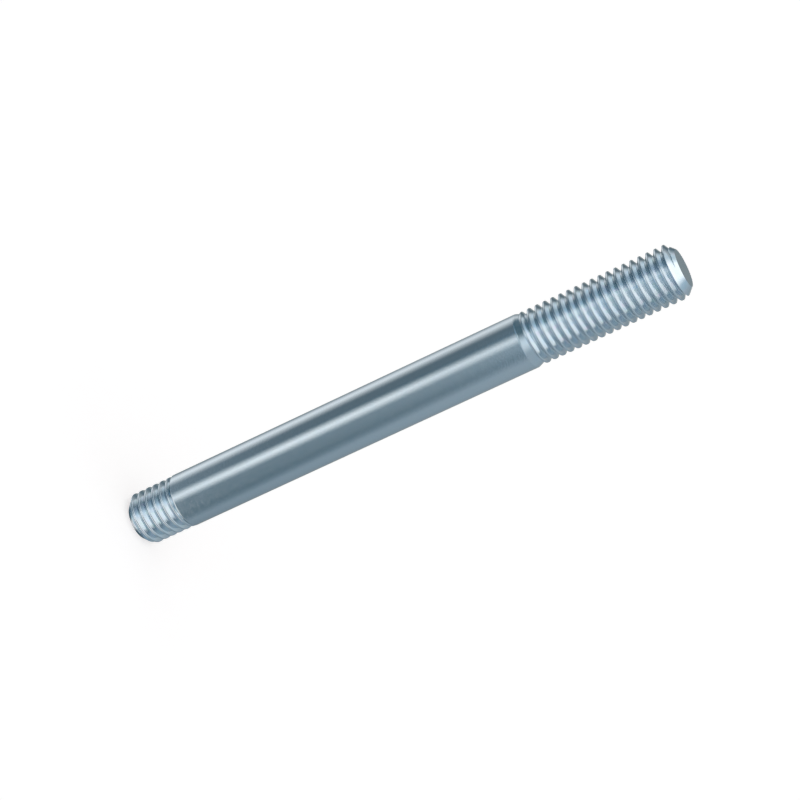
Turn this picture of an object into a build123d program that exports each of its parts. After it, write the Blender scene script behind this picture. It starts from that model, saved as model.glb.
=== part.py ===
"""Double-end stud bolt with right-hand metric threads, in millimetres.

The stud stands along +Z. Its short metal end, the one that is driven into a tapped hole, is at the
bottom, and the flat face of that end is centred on the origin. The long end for the nut is at the top.
"""

import os
from math import ceil, radians, tan

from build123d import *

# Thread
nominal_diameter = 10.0
thread_pitch = 1.5
flank_angle = 60.0
crest_flat = 0.125 * thread_pitch
thread_depth = 0.6134 * thread_pitch
crest_allowance = 0.15

# Blank that the threads are rolled on
shank_diameter = 10.0
blank_diameter = 9.03

# Lengths along the axis
metal_end_length = 10.0
shank_length = 70.2
nut_end_length = 29.8

# Thread run-out and shoulder, measured back from where the shank begins
metal_run_out = 2.3
metal_shoulder = 0.6
nut_run_out = 3.8
nut_shoulder = 1.2
crest_fade = 0.6

# Ends
end_face_diameter = 6.9
chamfer_angle = 45.0

# Where the crest of each thread meets the plane of its end face, turned about the axis from +X
metal_start_angle = -12.4
nut_start_angle = 0.0

# Share of a turn that one piece of a thread's helical path covers
path_piece_turn = 0.275

# What follows from the sizes above
shank_radius = shank_diameter / 2
blank_radius = blank_diameter / 2
face_radius = end_face_diameter / 2
crest_radius = (nominal_diameter - crest_allowance) / 2
root_radius = nominal_diameter / 2 - thread_depth
chamfer_slope = tan(radians(chamfer_angle))
flank_slope = tan(radians(flank_angle / 2))
foot_depth = 0.05 * thread_pitch
total_length = metal_end_length + shank_length + nut_end_length


def turned(points):
    """The solid of revolution of an outline given as radius and height, closed along the axis."""
    outline = Polyline(*points, close=True)
    return revolve(Plane.XZ * make_face(outline), Axis.Z)


def end_outline(length, run_out, shoulder):
    """The turned outline of one end without its ridge, from one pitch past the end face to the shank.

    The root is cylindrical, rises to the blank over the run-out, and then to the shank over the shoulder.
    """
    return [
        (root_radius, -thread_pitch),
        (root_radius, length - run_out),
        (blank_radius, length - shoulder),
        (shank_radius, length),
    ]


def unthreaded_bar():
    """The turned bar without ridges or chamfers, one pitch too long at each end."""
    lower = end_outline(metal_end_length, metal_run_out, metal_shoulder)
    upper = end_outline(nut_end_length, nut_run_out, nut_shoulder)
    upper = [(radius, total_length - height) for radius, height in reversed(upper)]
    return turned([(0, lower[0][1]), *lower, *upper, (0, upper[-1][1])])


def ridge(length, start_angle):
    """The helical ridge of one thread, from about two pitches past the end face at Z = 0 into the shank.

    Its foot lies a little under the root, so that it joins the core. Its path is a chain of short pieces
    of helix, which keeps the faces of the ridge simple.
    """
    foot_radius = root_radius - foot_depth
    foot_half = crest_flat / 2 + (nominal_diameter / 2 - foot_radius) * flank_slope
    crest_half = crest_flat / 2 + (nominal_diameter / 2 - crest_radius) * flank_slope
    section = Polyline(
        (foot_radius, 0, -foot_half),
        (crest_radius, 0, -crest_half),
        (crest_radius, 0, crest_half),
        (foot_radius, 0, foot_half),
        close=True,
    )
    piece_rise = path_piece_turn * thread_pitch
    piece = Edge.make_helix(thread_pitch, piece_rise, crest_radius)
    piece_count = ceil((length / thread_pitch + 3) / path_piece_turn)
    places = [Location((0, 0, i * piece_rise), (0, 0, i * path_piece_turn * 360)) for i in range(piece_count)]
    path = Wire([piece.moved(place) for place in places])
    solid = Solid.sweep(Wire(section.edges()), path, is_frenet=True)
    return solid.moved(Location((0, 0, -thread_pitch * (2 + start_angle / 360))))


def fade_limit(length, shoulder):
    """The space that the crests may fill: open beside the thread, and closing in on the shoulder.

    The crests reach full height at the foot of the shoulder and sink to the blank over the fade.
    """
    foot = length - shoulder
    fade_slope = (crest_radius - blank_radius) / crest_fade
    open_radius = crest_radius + thread_pitch
    return turned(
        [
            (0, -1.5 * thread_pitch),
            (open_radius, -1.5 * thread_pitch),
            (open_radius, foot - (open_radius - crest_radius) / fade_slope),
            (blank_radius, foot + crest_fade),
            (0, foot + crest_fade),
        ]
    )


def end_thread(length, shoulder, start_angle):
    """The ridge of one end, with that end's face on the XY plane and the shank above it."""
    return ridge(length, start_angle) & fade_limit(length, shoulder)


def chamfered_ends():
    """The space between the two end faces, narrowed by the chamfers at both ends."""
    wide_radius = shank_radius + thread_pitch
    chamfer_length = (wide_radius - face_radius) / chamfer_slope
    return turned(
        [
            (0, 0),
            (face_radius, 0),
            (wide_radius, chamfer_length),
            (wide_radius, total_length - chamfer_length),
            (face_radius, total_length),
            (0, total_length),
        ]
    )


def stud_bolt():
    """The finished stud: one turned piece with a right-hand thread on each end."""
    metal_thread = end_thread(metal_end_length, metal_shoulder, metal_start_angle)
    nut_thread = end_thread(nut_end_length, nut_shoulder, nut_start_angle)
    nut_thread = nut_thread.rotate(Axis.X, 180).moved(Location((0, 0, total_length)))
    threaded_bar = unthreaded_bar() + metal_thread + nut_thread
    return threaded_bar & chamfered_ends()


def main():
    os.makedirs("parts", exist_ok=True)
    stud = stud_bolt()
    print("solids", len(stud.solids()), "valid", stud.is_valid, "volume", round(stud.volume, 2))
    export_step(stud, "parts/stud_bolt.step")


main()
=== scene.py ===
"""The look of a double-end stud bolt: one turned piece with a rolled thread on each end, zinc plated.

The stud stands along +Z on the flat face of its short metal end. Shapes are worked out in millimetres and
become metres where the mesh is made. Each end is shaped in its own frame, with its end face at height 0 and
the shank above it; the nut end is then turned over onto the top of the stud.
"""

from collections import namedtuple
from math import atan2, cos, pi, radians, sin, tan

import bpy
import numpy as np
from mathutils import Matrix, Vector


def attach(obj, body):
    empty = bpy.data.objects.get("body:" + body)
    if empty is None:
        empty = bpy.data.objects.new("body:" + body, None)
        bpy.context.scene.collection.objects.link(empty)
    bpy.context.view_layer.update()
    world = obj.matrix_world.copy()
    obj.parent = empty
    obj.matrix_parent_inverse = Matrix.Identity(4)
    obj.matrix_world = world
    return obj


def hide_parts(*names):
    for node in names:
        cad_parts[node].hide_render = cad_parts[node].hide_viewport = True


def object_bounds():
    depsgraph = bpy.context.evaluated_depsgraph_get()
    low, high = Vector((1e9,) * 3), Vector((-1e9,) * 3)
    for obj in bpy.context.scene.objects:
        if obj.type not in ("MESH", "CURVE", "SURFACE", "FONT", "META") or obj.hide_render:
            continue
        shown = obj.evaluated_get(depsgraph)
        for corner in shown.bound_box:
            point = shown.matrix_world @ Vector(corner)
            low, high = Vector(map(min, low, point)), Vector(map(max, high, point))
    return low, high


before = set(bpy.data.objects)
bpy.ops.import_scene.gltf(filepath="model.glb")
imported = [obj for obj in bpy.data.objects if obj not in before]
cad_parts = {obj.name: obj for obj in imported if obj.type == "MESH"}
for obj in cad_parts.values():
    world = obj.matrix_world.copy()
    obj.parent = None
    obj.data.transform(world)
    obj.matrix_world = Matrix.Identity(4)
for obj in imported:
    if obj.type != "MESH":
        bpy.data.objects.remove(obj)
cad_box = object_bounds()
METRES = 0.001

# Thread. Each flank leans by the flank angle from the plane across the axis.
pitch = 1.5
nominal_radius = 5.0
crest_radius = 4.925
root_radius = 4.08
crest_flat = pitch / 8
flank_angle = radians(30)
root_round = 0.1 * pitch
crest_round = 0.05
crest_fade = 0.6

# Bar between and under the threads. Its core lies under the roots of the thread.
shank_radius = cad_box[1].x / METRES
total_length = cad_box[1].z / METRES
blank_radius = 4.515
core_radius = 4.0
face_radius = 3.45

# Softness of the edges
edge_round = 0.06
shoulder_blend = 0.08
thread_blend = 0.06

# Fineness of the mesh
columns = 144
flank_shares = (0.1, 0.5, 0.9)
root_steps = 4
corner_steps = 2
turns_below = 2
spare_turns = 5
same_height = 1e-6
sharp_angle = radians(35)

# Both ends. The run-out and the shoulder are measured back from the shank, and the shoulder rises from the
# foot radius. The thread's crest meets the plane of the end face at the start angle, in degrees from +X.
End = namedtuple("End", "length run_out shoulder foot_radius start_angle")
metal_end = End(length=10.0, run_out=0.6, shoulder=0.1, foot_radius=4.9, start_angle=-12.4)
nut_end = End(length=29.8, run_out=2.3, shoulder=1.2, foot_radius=4.515, start_angle=0.0)

# Zinc: its colours, and the tints of the blue passivation as cloudy patches of a size in millimetres
zinc = (0.87, 0.91, 0.935)
groove_tint = (0.85, 0.92, 0.965)
edge_tint = (0.8, 0.78, 0.76)
tint_outside_grooves = 0.25
Tint = namedtuple("Tint", "size start full colour")
tints = {
    "blue": Tint(1.6, 0.4, 0.65, (0.79, 0.89, 0.965)),
    "lilac": Tint(1.1, 0.5, 0.7, (0.875, 0.89, 0.965)),
    "green": Tint(0.9, 0.5, 0.7, (0.82, 0.925, 0.935)),
}

# Wear and relief of the zinc, in millimetres
smooth_roughness = 0.1
dull_roughness = 0.13
wear_size = 0.7
wear_detail = 3.0
wear_range = (0.3, 0.7)
grain_size = 0.3
grain_detail = 1.0
grain_height = 0.007
wave_size = 1.5
wave_share = 0.6
pit_spacing = 0.9
pit_radius = 0.12
pit_range = (0.8, 0.82)
pit_share = 0.4

# Camera, fitted to the photograph, in millimetres, with its nearest and farthest sight in metres
camera_place = (171.526, 330.941, 175.405)
camera_aim = (-0.0115, 0.006, 55.0229)
camera_roll = radians(65.0076)
camera_lens = 100.94
camera_sensor = 36.0
camera_near = 0.01
camera_far = 100.0
camera_side = atan2(camera_place[1], camera_place[0])

# Studio: soft lights at places in degrees, round from the camera's side and up from level. Their edges fade
# over the soft widths to both sides, and lean says how far a light shifts sideways for each degree upwards.
Light = namedtuple("Light", "side rise half_width half_height side_soft rise_soft lean colour")
lights = {
    "floor at the left": Light(-34, -40, 41, 10, 24, 11, -2.0, (0.44, 0.51, 0.58)),
    "strip": Light(-26, -21, 13, 5, 16, 20, 0.25, (1.11, 1.12, 1.11)),
    "left wall": Light(-120, -15, 19, 25, 22, 8, -0.37, (0.6, 0.59, 0.58)),
    "dim wall": Light(-75, -18, 25, 10, 12, 6, 0.0, (0.03, 0.018, 0.012)),
    "behind": Light(178, -10, 24, 20, 14, 10, 0.0, (0.15, 0.13, 0.09)),
    "right band": Light(45, -17, 16, 14, 15, 10, 0.0, (0.045, 0.045, 0.045)),
    "below the camera": Light(-11, -7, 64, 5, 22, 4, -1.2, (0.1, 0.16, 0.23)),
    "right side": Light(91, 13, 86, 42, 25, 24, -2.0, (0.22, 0.24, 0.26)),
    "top": Light(0, 90, 200, 29, 20, 12, 0.0, (1.04, 1.0, 0.97)),
    "ring": Light(-3, 50, 141, 11, 11, 14, -0.5, (0.26, 0.32, 0.36)),
    "front": Light(5, 22, 27, 37, 25, 21, 0.0, (0.29, 0.31, 0.32)),
    "left above": Light(-157, 39, 65, 12, 22, 18, -0.2, (0.35, 0.33, 0.32)),
    "window": Light(-34, 11, 13, 9, 20, 5, -0.4, (0.57, 0.62, 0.65)),
}
dim_studio = (0.067, 0.123, 0.16)

# Parts of the white floor that the metal shows: the floor before the camera, and what is straight below
white = (1.0, 1.0, 1.0)
white_floor = Light(14, -41, 54, 13.5, 24, 2.5, 2.3, white)
floor_below = Light(0, -90, 200, 27, 20, 5, 0.0, white)

# Floor, in metres
floor_half = 10.0
floor_gap = 0.0001
floor_glow = (0.58, 0.52, 0.485)
floor_colour = (0.8, 0.8, 0.8)


def thread_form():
    """One pitch of the thread as heights from the crest's middle and radii, from root to root."""
    crest_half = crest_flat / 2 + (nominal_radius - crest_radius) * tan(flank_angle)
    groove_apex = nominal_radius - (pitch - crest_flat) / 2 / tan(flank_angle)
    arc_centre = groove_apex + root_round / sin(flank_angle)
    corner_turn = pi / 2 - flank_angle
    corner_start = crest_half - crest_round * tan(corner_turn / 2)
    half = [(0.0, crest_radius)]
    for step in range(corner_steps + 1):
        turn = corner_turn * step / corner_steps
        half.append((corner_start + crest_round * sin(turn), crest_radius - crest_round * (1 - cos(turn))))
    flank_top = half[-1]
    arc = []
    for step in range(root_steps + 1):
        turn = corner_turn * (1 - step / root_steps)
        arc.append((pitch / 2 - root_round * sin(turn), arc_centre - root_round * cos(turn)))
    for share in flank_shares:
        half.append(tuple(a + (b - a) * share for a, b in zip(flank_top, arc[0])))
    half += arc
    rising = [(-height, radius) for height, radius in reversed(half)]
    whole = rising + half[1:-1]
    return np.array([p[0] for p in whole]), np.array([p[1] for p in whole])


def smooth_max(a, b, width):
    """The larger of two radii, with the corner between them filled over the given width."""
    near = np.maximum(width - np.abs(a - b), 0)
    return np.maximum(a, b) + near * near / (4 * width)


def smooth_min(a, b, width):
    """The smaller of two radii, with the corner between them cut over the given width."""
    return -smooth_max(-a, -b, width)


def line(height, start, stop):
    """The radius at a height on the straight line through two (height, radius) points."""
    return start[1] + (height - start[0]) * (stop[1] - start[1]) / (stop[0] - start[0])


def bar_radius(end, height):
    """The turned bar under the thread: root, run-out and shoulder.

    Where the run-out is the steeper of the two, the shoulder cuts it off; else it rises out of it.
    """
    run_out_start = (end.length - end.run_out, root_radius)
    foot = (end.length - end.shoulder, end.foot_radius)
    edge = (end.length, shank_radius)
    run_out = line(height, run_out_start, foot)
    shoulder = line(height, foot, edge)
    join = smooth_min if end.foot_radius > blank_radius else smooth_max
    return np.maximum(join(run_out, shoulder, shoulder_blend), core_radius)


def snap(height, radius, excess):
    """Moves, in every column, the vertex nearest to each change of sign of excess onto that change."""
    for q in range(height.shape[1] - 1):
        a, b = excess[:, q], excess[:, q + 1]
        crossing = (a > 0) != (b > 0)
        share = np.where(crossing, a / np.where(crossing, a - b, 1), 0)
        h = height[:, q] + (height[:, q + 1] - height[:, q]) * share
        r = radius[:, q] + (radius[:, q + 1] - radius[:, q]) * share
        low = crossing & (share <= 0.5)
        high = crossing & (share > 0.5)
        height[low, q], radius[low, q], excess[low, q] = h[low], r[low], 0
        height[high, q + 1], radius[high, q + 1], excess[high, q + 1] = h[high], r[high], 0


def end_grid(end):
    """Heights and radii of one end: a row for each column of the mesh, from below the face to the shank.

    The rows follow the thread, so the last column joins the first one a whole pitch higher up.
    """
    form_height, form_radius = thread_form()
    turns = int(end.length / pitch) + spare_turns
    advance = pitch * (np.arange(columns) / columns - end.start_angle / 360)
    steps = (np.arange(turns)[:, None] - turns_below) * pitch + form_height[None, :]
    height = advance[:, None] + steps.reshape(1, -1)
    radius = np.tile(form_radius, (columns, turns))
    foot = end.length - end.shoulder
    fade = line(height, (foot, crest_radius), (foot + crest_fade, blank_radius))
    radius = smooth_min(radius, fade, thread_blend)
    radius = smooth_max(radius, bar_radius(end, height), thread_blend)
    snap(height, radius, radius - (face_radius + height))
    radius = np.minimum(radius, face_radius + height)
    snap(height, radius, height - edge_round)
    snap(height, radius, height - (end.length - edge_round))
    return height, radius, len(form_height)


def upright(x, y, z):
    return (x, y, z)


def turned_over(x, y, z):
    return (x, -y, total_length - z)


class Mesh:
    """Vertices and faces as they are gathered, in millimetres."""

    def __init__(self):
        self.points = []
        self.faces = []

    def point(self, column, radius, height, place):
        """Adds the vertex of a column; place turns it from its end's own frame into the stud's."""
        turn = 2 * pi * column / columns
        self.points.append(place(radius * cos(turn), radius * sin(turn), height))
        return len(self.points) - 1

    def ring(self, radius, height, place):
        return [self.point(column, radius, height, place) for column in range(columns)]

    def band(self, lower, upper):
        for i in range(columns):
            j = (i + 1) % columns
            self.faces.append((lower[i], lower[j], upper[j], upper[i]))

    def face(self, corners):
        """Adds a face, without the corners that have fallen together."""
        kept = [c for k, c in enumerate(corners) if c != corners[k - 1]]
        if len(set(kept)) > 2:
            self.faces.append(tuple(int(c) for c in kept))

    def used_parts(self):
        """The points in metres and the faces, without the points that no face uses."""
        used = np.zeros(len(self.points), bool)
        for face in self.faces:
            used[list(face)] = True
        renumber = np.cumsum(used) - 1
        points = [tuple(v * METRES for v in p) for p, keep in zip(self.points, used) if keep]
        faces = [tuple(int(renumber[v]) for v in face) for face in self.faces]
        return points, faces


def add_end(mesh, end, place):
    """Adds the threaded side of one end and returns its rings of vertices at the face and at the shank."""
    height, radius, form_rows = end_grid(end)
    below = height <= edge_round + same_height
    above = height >= end.length - edge_round - same_height
    cone_slope = (shank_radius - end.foot_radius) / end.shoulder
    face_ring = mesh.ring(face_radius + edge_round, edge_round, place)
    shank_ring = mesh.ring(shank_radius - edge_round * cone_slope, end.length - edge_round, place)
    index = np.zeros(height.shape, int)
    for i, q in np.ndindex(height.shape):
        if below[i, q]:
            index[i, q] = face_ring[i]
        elif above[i, q]:
            index[i, q] = shank_ring[i]
        else:
            index[i, q] = mesh.point(i, radius[i, q], height[i, q], place)
    for i in range(columns):
        column = index[i]
        following = index[i + 1] if i < columns - 1 else index[0, form_rows:]
        for q in range(len(following) - 1):
            mesh.face((column[q], following[q], following[q + 1], column[q + 1]))
    return face_ring, shank_ring


def add_face_disc(mesh, face_ring, place):
    """Closes an end with its rounded rim and flat face, held flat by rings close to the rim."""
    rim = (face_radius + 0.3 * edge_round, 0.3 * edge_round)
    flat_start = (face_radius - 0.5 * edge_round, 0.0)
    flat_support = (face_radius - 1.5 * edge_round, 0.0)
    flat_middle = (face_radius / 2, 0.0)
    previous = face_ring
    for radius, height in (rim, flat_start, flat_support, flat_middle):
        ring = mesh.ring(radius, height, place)
        mesh.band(ring, previous)
        previous = ring
    centre = mesh.point(0, 0, 0, place)
    for i in range(columns):
        mesh.face((centre, previous[(i + 1) % columns], previous[i]))


def add_shank(mesh, lower, upper):
    """The plain shank between the rings of both ends, with its two edges slightly rounded."""
    low = metal_end.length + edge_round
    high = total_length - nut_end.length - edge_round
    previous = lower
    for height in (low, low + edge_round, high - edge_round, high):
        ring = mesh.ring(shank_radius, height, upright)
        mesh.band(previous, ring)
        previous = ring
    mesh.band(previous, [upper[-i % columns] for i in range(columns)])


def stud_mesh():
    mesh = Mesh()
    face_ring, lower = add_end(mesh, metal_end, upright)
    add_face_disc(mesh, face_ring, upright)
    face_ring, upper = add_end(mesh, nut_end, turned_over)
    add_face_disc(mesh, face_ring, turned_over)
    add_shank(mesh, lower, upper)
    points, faces = mesh.used_parts()
    data = bpy.data.meshes.new("stud")
    data.from_pydata(points, [], faces)
    data.validate()
    data.update()
    data.shade_smooth()
    data.set_sharp_from_angle(angle=sharp_angle)
    return data


class Nodes:
    """Short ways to add nodes to a node tree."""

    def __init__(self, tree):
        self.tree = tree

    def add(self, kind, **settings):
        node = self.tree.nodes.new(kind)
        for name, value in settings.items():
            setattr(node, name, value)
        return node

    def feed(self, socket, value):
        if isinstance(value, bpy.types.NodeSocket):
            self.tree.links.new(value, socket)
        else:
            socket.default_value = value

    def feed_colour(self, socket, colour):
        self.feed(socket, (*colour, 1.0) if isinstance(colour, tuple) else colour)

    def math(self, operation, *values):
        node = self.add("ShaderNodeMath", operation=operation)
        for socket, value in zip(node.inputs, values):
            self.feed(socket, value)
        return node.outputs[0]

    def vector(self, operation, *values):
        node = self.add("ShaderNodeVectorMath", operation=operation)
        for socket, value in zip(node.inputs, values):
            self.feed(socket, value)
        return node.outputs["Value" if operation == "LENGTH" else "Vector"]

    def scaled(self, colour, strength):
        """A colour times a strength."""
        node = self.add("ShaderNodeVectorMath", operation="SCALE")
        self.feed(node.inputs[0], colour)
        self.feed(node.inputs["Scale"], strength)
        return node.outputs["Vector"]

    def ramp(self, value, start, stop, low=0.0, high=1.0):
        """Goes smoothly from low, where value is start, to high, where it is stop."""
        node = self.add("ShaderNodeMapRange", interpolation_type="SMOOTHSTEP")
        names = ("Value", "From Min", "From Max", "To Min", "To Max")
        for name, given in zip(names, (value, start, stop, low, high)):
            self.feed(node.inputs[name], given)
        return node.outputs["Result"]

    def mix(self, start, stop, share):
        """The colour that lies between two colours at a share."""
        node = self.add("ShaderNodeMix", data_type="RGBA")
        self.feed(node.inputs["Factor"], share)
        self.feed_colour(node.inputs["A"], start)
        self.feed_colour(node.inputs["B"], stop)
        return node.outputs["Result"]

    def noise(self, place, size, detail=2.0):
        """Noise between 0 and 1 with features of about the given size in millimetres."""
        node = self.add("ShaderNodeTexNoise")
        self.feed(node.inputs["Vector"], place)
        node.inputs["Scale"].default_value = 1 / (size * METRES)
        node.inputs["Detail"].default_value = detail
        return node.outputs["Fac"]


def zinc_colour(nodes, place):
    """Bright zinc, bluer in the grooves, where the cloudy tints of the passivation gather too."""
    from_axis = nodes.vector("LENGTH", nodes.vector("MULTIPLY", place, (1, 1, 0)))
    groove = nodes.ramp(from_axis, crest_radius * METRES, root_radius * METRES, tint_outside_grooves, 1.0)
    colour = nodes.mix(zinc, groove_tint, groove)
    for tint in tints.values():
        patches = nodes.ramp(nodes.noise(place, tint.size), tint.start, tint.full)
        colour = nodes.mix(colour, tint.colour, nodes.math("MULTIPLY", patches, groove))
    return colour


def pits(nodes, place):
    """Small shallow handling marks: the middles of a few cells of a cell pattern."""
    cells = nodes.add("ShaderNodeTexVoronoi")
    nodes.feed(cells.inputs["Vector"], place)
    cells.inputs["Scale"].default_value = 1 / (pit_spacing * METRES)
    cell_values = nodes.add("ShaderNodeSeparateXYZ")
    nodes.feed(cell_values.inputs[0], cells.outputs["Color"])
    chosen = nodes.ramp(cell_values.outputs["X"], *pit_range)
    inside = nodes.ramp(cells.outputs["Distance"], pit_radius / pit_spacing, 0.0)
    return nodes.math("MULTIPLY", chosen, inside)


def zinc_relief(nodes, place):
    """Fine grain on faint waves, with pits, as a bump."""
    grain = nodes.noise(place, grain_size, grain_detail)
    waves = nodes.math("MULTIPLY", nodes.noise(place, wave_size), wave_share)
    marks = nodes.math("MULTIPLY", pits(nodes, place), pit_share)
    bump = nodes.add("ShaderNodeBump")
    bump.inputs["Strength"].default_value = 1.0
    bump.inputs["Distance"].default_value = grain_height * METRES
    nodes.feed(bump.inputs["Height"], nodes.math("SUBTRACT", nodes.math("ADD", grain, waves), marks))
    return bump.outputs[0]


def zinc_material():
    """Bright zinc with a clear blue passivation."""
    material = bpy.data.materials.new("zinc_plated_steel")
    material.use_nodes = True
    shader = material.node_tree.nodes["Principled BSDF"].inputs
    nodes = Nodes(material.node_tree)
    place = nodes.add("ShaderNodeTexCoord").outputs["Object"]
    wear = nodes.noise(place, wear_size, wear_detail)
    nodes.feed(shader["Base Color"], zinc_colour(nodes, place))
    nodes.feed(shader["Roughness"], nodes.ramp(wear, *wear_range, smooth_roughness, dull_roughness))
    nodes.feed(shader["Normal"], zinc_relief(nodes, place))
    shader["Metallic"].default_value = 1.0
    shader["Specular Tint"].default_value = (*edge_tint, 1)
    return material


def make_stud():
    stud = bpy.data.objects.new("stud", stud_mesh())
    bpy.context.scene.collection.objects.link(stud)
    stud.data.materials.append(zinc_material())
    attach(stud, "root")
    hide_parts("stud_bolt")


def floor_material():
    """A white floor that keeps the stud's shadow, with a glow for the camera that makes it white."""
    material = bpy.data.materials.new("floor")
    material.use_nodes = True
    material.node_tree.nodes.clear()
    nodes = Nodes(material.node_tree)
    diffuse = nodes.add("ShaderNodeBsdfDiffuse")
    diffuse.inputs["Color"].default_value = (*floor_colour, 1)
    glow = nodes.add("ShaderNodeEmission")
    glow.inputs["Color"].default_value = (*floor_glow, 1)
    nodes.feed(glow.inputs["Strength"], nodes.add("ShaderNodeLightPath").outputs["Is Camera Ray"])
    both = nodes.add("ShaderNodeAddShader")
    nodes.feed(both.inputs[0], diffuse.outputs[0])
    nodes.feed(both.inputs[1], glow.outputs[0])
    output = nodes.add("ShaderNodeOutputMaterial")
    nodes.feed(output.inputs["Surface"], both.outputs[0])
    return material


def make_floor():
    """The floor just under the stud. The world, not this sheet, is what the metal shows of it."""
    data = bpy.data.meshes.new("floor")
    signs = ((-1, -1), (1, -1), (1, 1), (-1, 1))
    corners = [(x * floor_half, y * floor_half, -floor_gap) for x, y in signs]
    data.from_pydata(corners, [], [(0, 1, 2, 3)])
    floor = bpy.data.objects.new("floor", data)
    bpy.context.scene.collection.objects.link(floor)
    data.materials.append(floor_material())
    floor.visible_glossy = False
    floor.visible_shadow = False


def make_camera():
    """The photograph's camera: aimed at the stud, and rolled so that the stud lies across the picture."""
    data = bpy.data.cameras.new("camera")
    data.lens = camera_lens
    data.sensor_width = camera_sensor
    data.clip_start = camera_near
    data.clip_end = camera_far
    camera = bpy.data.objects.new("camera", data)
    bpy.context.scene.collection.objects.link(camera)
    place = Vector(camera_place) * METRES
    ahead = Vector(camera_aim) * METRES - place
    level = ahead.to_track_quat("-Z", "Y").to_matrix().to_4x4()
    camera.matrix_world = Matrix.Translation(place) @ level @ Matrix.Rotation(camera_roll, 4, "Z")
    bpy.context.scene.camera = camera


def panel(nodes, side, rise, light):
    """How much of a soft light is seen in the direction that lies side degrees round and rise degrees up."""
    above = nodes.math("SUBTRACT", rise, light.rise)
    middle = nodes.math("ADD", nodes.math("MULTIPLY", above, light.lean), light.side)
    around = nodes.math("WRAP", nodes.math("SUBTRACT", side, middle), 180.0, -180.0)
    off_side = nodes.math("ABSOLUTE", around)
    off_rise = nodes.math("ABSOLUTE", above)
    across = nodes.ramp(off_side, light.half_width + light.side_soft, light.half_width - light.side_soft)
    along = nodes.ramp(off_rise, light.half_height + light.rise_soft, light.half_height - light.rise_soft)
    return nodes.math("MULTIPLY", across, along)


def look_angles(nodes):
    """The direction of a ray in degrees: round from the camera's side, and up from level."""
    turn = nodes.add("ShaderNodeVectorRotate", rotation_type="Z_AXIS")
    nodes.feed(turn.inputs["Vector"], nodes.add("ShaderNodeTexCoord").outputs["Generated"])
    turn.inputs["Angle"].default_value = -camera_side
    split = nodes.add("ShaderNodeSeparateXYZ")
    nodes.feed(split.inputs[0], turn.outputs[0])
    side = nodes.math("DEGREES", nodes.math("ARCTAN2", split.outputs["Y"], split.outputs["X"]))
    rise = nodes.math("DEGREES", nodes.math("ARCSINE", split.outputs["Z"]))
    return side, rise


def make_world():
    """A plain studio: soft lights in a dim room, and white for the camera.

    The metal sees that white too, in the part of the floor that the photo's reflections show as white.
    """
    world = bpy.data.worlds.new("studio")
    bpy.context.scene.world = world
    world.use_nodes = True
    world.node_tree.nodes.clear()
    nodes = Nodes(world.node_tree)
    side, rise = look_angles(nodes)
    studio = dim_studio
    for light in lights.values():
        studio = nodes.vector("ADD", studio, nodes.scaled(light.colour, panel(nodes, side, rise, light)))
    path = nodes.add("ShaderNodeLightPath").outputs
    reflected = nodes.math("MAXIMUM", path["Is Glossy Ray"], path["Is Transmission Ray"])
    floor_parts = (panel(nodes, side, rise, part) for part in (white_floor, floor_below))
    floor_share = nodes.math("MULTIPLY", reflected, nodes.math("MAXIMUM", *floor_parts))
    white_share = nodes.math("MAXIMUM", path["Is Camera Ray"], floor_share)
    background = nodes.add("ShaderNodeBackground")
    nodes.feed(background.inputs["Color"], nodes.mix(studio, white, white_share))
    output = nodes.add("ShaderNodeOutputWorld")
    nodes.feed(output.inputs["Surface"], background.outputs[0])


make_stud()
make_floor()
make_camera()
make_world()
bpy.context.scene.view_settings.view_transform = "Standard"
